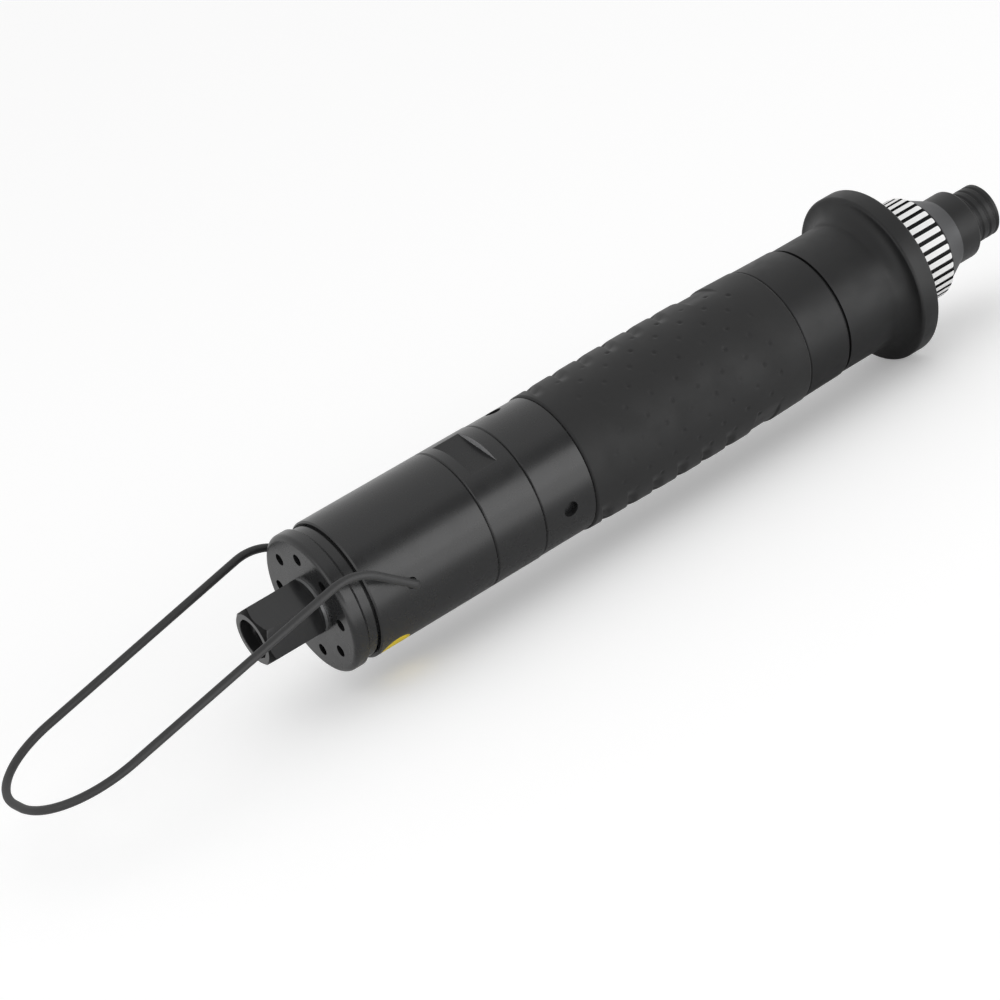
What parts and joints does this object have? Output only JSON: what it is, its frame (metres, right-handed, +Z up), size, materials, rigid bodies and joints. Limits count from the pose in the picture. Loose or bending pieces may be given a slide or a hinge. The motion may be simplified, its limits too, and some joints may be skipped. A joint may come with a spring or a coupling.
{
  "type": "pneumatic screwdriver",
  "caption": "Straight push-to-start pneumatic screwdriver: hex air inlet, wire hanging bail, rubber grip, finger guard, striped torque ring and threaded nose over a hexagonal bit holder.",
  "frame": {"origin": "centre of the air inlet bushing's end face, on the tool axis", "axes": "+X along the tool from the air inlet to the bit end, Y along the bail's pivot line, +Z up with the tool lying on its side"},
  "size_m": [0.3172, 0.053, 0.0484],
  "materials": {
    "housing": "black anodised, semi-gloss",
    "inlet": "black-finished steel",
    "wire": "black-coated spring wire",
    "grip": "moulded black rubber, matt",
    "stripes": "fluted ring, white lands with dark grooves",
    "nose": "dark satin cone and black threaded nose",
    "steel": "ground",
    "dark_steel": "black-oxide",
    "light_metal": "machined",
    "bronze": "machined",
    "seal": "matt",
    "vane": "laminated vane material"
  },
  "bodies": {
    "body": {"inlet_bushing": "inlet", "inlet_washer": "dark_steel", "inlet_strainer": "steel", "end_cap": "housing", "silencer": "bronze", "rear_housing": "housing", "valve_block": "light_metal", "valve_spring": "steel", "motor_housing": "housing", "rear_end_plate": "steel", "rear_bearing": "steel", "cylinder": "steel", "front_end_plate": "steel", "front_bearing": "steel", "lock_ring": "housing", "grip_sleeve": "grip", "gear_housing": "housing", "ring_gear": "steel", "carrier_bearing": "steel", "bearing_circlip": "dark_steel", "clutch_spring": "dark_steel", "guard_collar": "housing", "nose_piece": "nose", "nose_bushing": "bronze"},
    "bail": {"bail": "wire"},
    "push_rod": {"push_rod": "steel", "valve_poppet": "bronze", "valve_seal": "seal"},
    "spindle": {"spindle": "steel", "bit_holder": "dark_steel", "bit_ball": "steel", "retaining_clip": "dark_steel"},
    "rotor": {"rotor": "steel", "vanes": "vane"},
    "carrier": {"carrier": "steel", "planet_pins": "steel", "clutch_driver": "steel", "clutch_balls": "steel"},
    "planet_1": {"planet_gear_1": "steel"},
    "planet_2": {"planet_gear_2": "steel"},
    "planet_3": {"planet_gear_3": "steel"},
    "clutch_plate": {"clutch_plate": "steel"},
    "torque_ring": {"torque_ring": "stripes"},
    "adjusting_nut": {"adjusting_nut": "bronze", "thrust_washer": "steel"}
  },
  "joints": [
    {"name": "bail_swing", "type": "hinge", "parent": "body", "child": "bail", "pos_m": [0.0364, 0, -0.001], "axis": [0, 1, 0], "range_deg": [-150, 160]},
    {"name": "push_start", "type": "slide", "parent": "body", "child": "push_rod", "axis": [-1, 0, 0], "range_m": [0, 0.003], "stiffness_N_per_m": 1500, "springref_m": -0.004, "deforming": ["valve_spring"]},
    {"name": "rotor_spin", "type": "hinge", "parent": "body", "child": "rotor", "pos_m": [0.081, 0, 0], "axis": [1, 0, 0], "continuous": true},
    {"name": "carrier_spin", "type": "hinge", "parent": "body", "child": "carrier", "pos_m": [0.14, 0, 0], "axis": [1, 0, 0], "continuous": true},
    {"name": "planet_1_spin", "type": "hinge", "parent": "carrier", "child": "planet_1", "pos_m": [0.1255, 0, -0.009], "axis": [1, 0, 0], "continuous": true},
    {"name": "planet_2_spin", "type": "hinge", "parent": "carrier", "child": "planet_2", "pos_m": [0.1255, -0.00779, 0.0045], "axis": [1, 0, 0], "continuous": true},
    {"name": "planet_3_spin", "type": "hinge", "parent": "carrier", "child": "planet_3", "pos_m": [0.1255, 0.00779, 0.0045], "axis": [1, 0, 0], "continuous": true},
    {"name": "clutch_slip", "type": "slide", "parent": "carrier", "child": "clutch_plate", "axis": [1, 0, 0], "range_m": [0, 0.0016], "stiffness_N_per_m": 8000, "springref_m": -0.003, "deforming": ["clutch_spring"]},
    {"name": "spindle_spin", "type": "hinge", "parent": "push_rod", "child": "spindle", "pos_m": [0.2, 0, 0], "axis": [1, 0, 0], "continuous": true},
    {"name": "torque_turn", "type": "hinge", "parent": "body", "child": "torque_ring", "pos_m": [0.2145, 0, 0], "axis": [1, 0, 0], "range_deg": [-375, 735]},
    {"name": "nut_slide", "type": "slide", "parent": "body", "child": "adjusting_nut", "axis": [1, 0, 0], "range_m": [-0.002, 0.001], "deforming": ["clutch_spring"]}
  ],
  "couplings": [
    {"joint": "carrier_spin", "follows": "rotor_spin", "ratio": 0.25},
    {"joint": "planet_1_spin", "follows": "rotor_spin", "ratio": -0.75},
    {"joint": "planet_2_spin", "follows": "rotor_spin", "ratio": -0.75},
    {"joint": "planet_3_spin", "follows": "rotor_spin", "ratio": -0.75},
    {"joint": "spindle_spin", "follows": "rotor_spin", "ratio": 0.25},
    {"joint": "torque_turn", "follows": "nut_slide", "rad_per_m": -6283.2}
  ]
}
